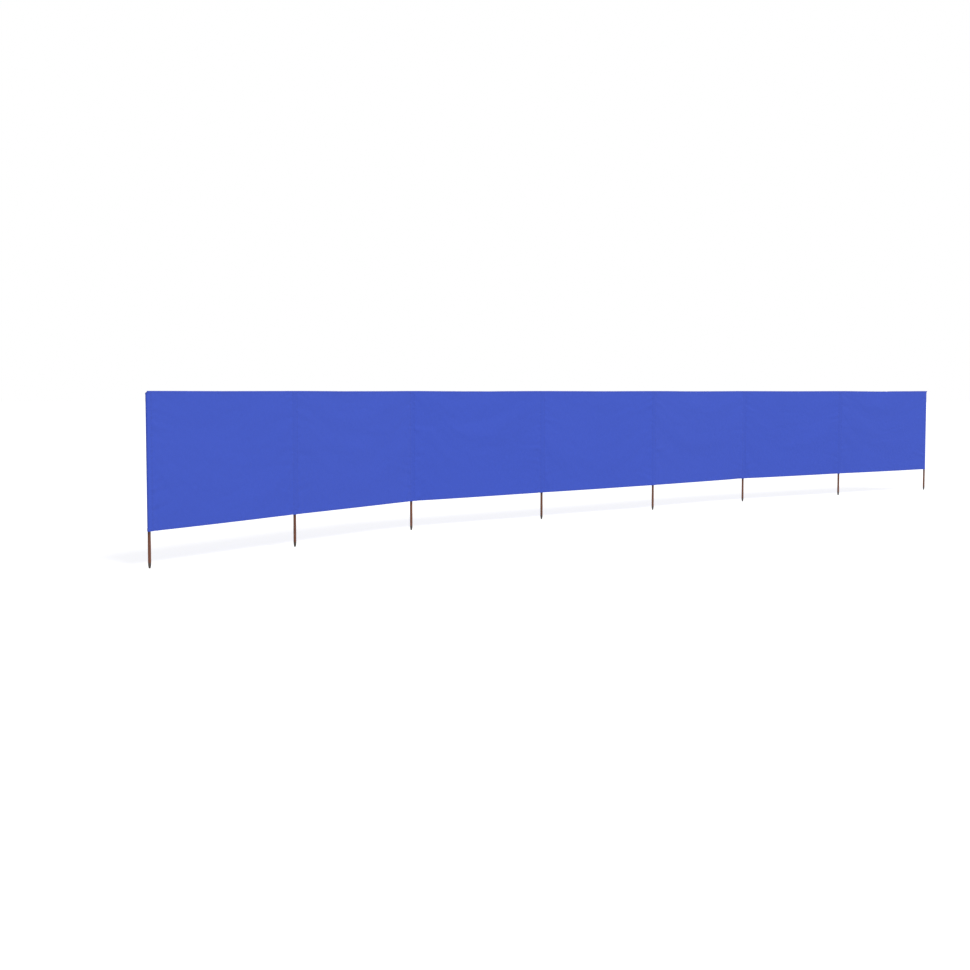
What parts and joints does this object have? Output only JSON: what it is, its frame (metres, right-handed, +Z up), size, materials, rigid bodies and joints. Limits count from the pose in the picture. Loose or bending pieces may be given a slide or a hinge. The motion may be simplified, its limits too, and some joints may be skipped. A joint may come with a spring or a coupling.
{
  "type": "beach windbreak",
  "caption": "Long blue fabric screen that shelters a spot on a beach, held by round pointed wooden poles in sewn pockets, standing in a gently bent line.",
  "frame": {"origin": "centre of the blunt tip of the first pole, at the left-hand end as seen from the front", "axes": "+X along the line of poles, +Z up the poles, -Y towards the front, where the cloth is smooth and the pockets don't show"},
  "size_m": [9.2338, 0.7352, 1.012],
  "materials": {
    "pole_wood": "stained softwood, matt",
    "cloth": "plain woven polyester, matt"
  },
  "bodies": {
    "root": {"pole_1": "pole_wood", "pole_2": "pole_wood", "pole_3": "pole_wood", "pole_4": "pole_wood", "pole_5": "pole_wood", "pole_6": "pole_wood", "pole_7": "pole_wood", "pole_8": "pole_wood", "panel_1": "cloth", "panel_2": "cloth", "panel_3": "cloth", "panel_4": "cloth", "panel_5": "cloth", "panel_6": "cloth", "panel_7": "cloth", "pocket_1": "cloth", "pocket_2": "cloth", "pocket_3": "cloth", "pocket_4": "cloth", "pocket_5": "cloth", "pocket_6": "cloth", "pocket_7": "cloth", "pocket_8": "cloth"}
  },
  "joints": []
}
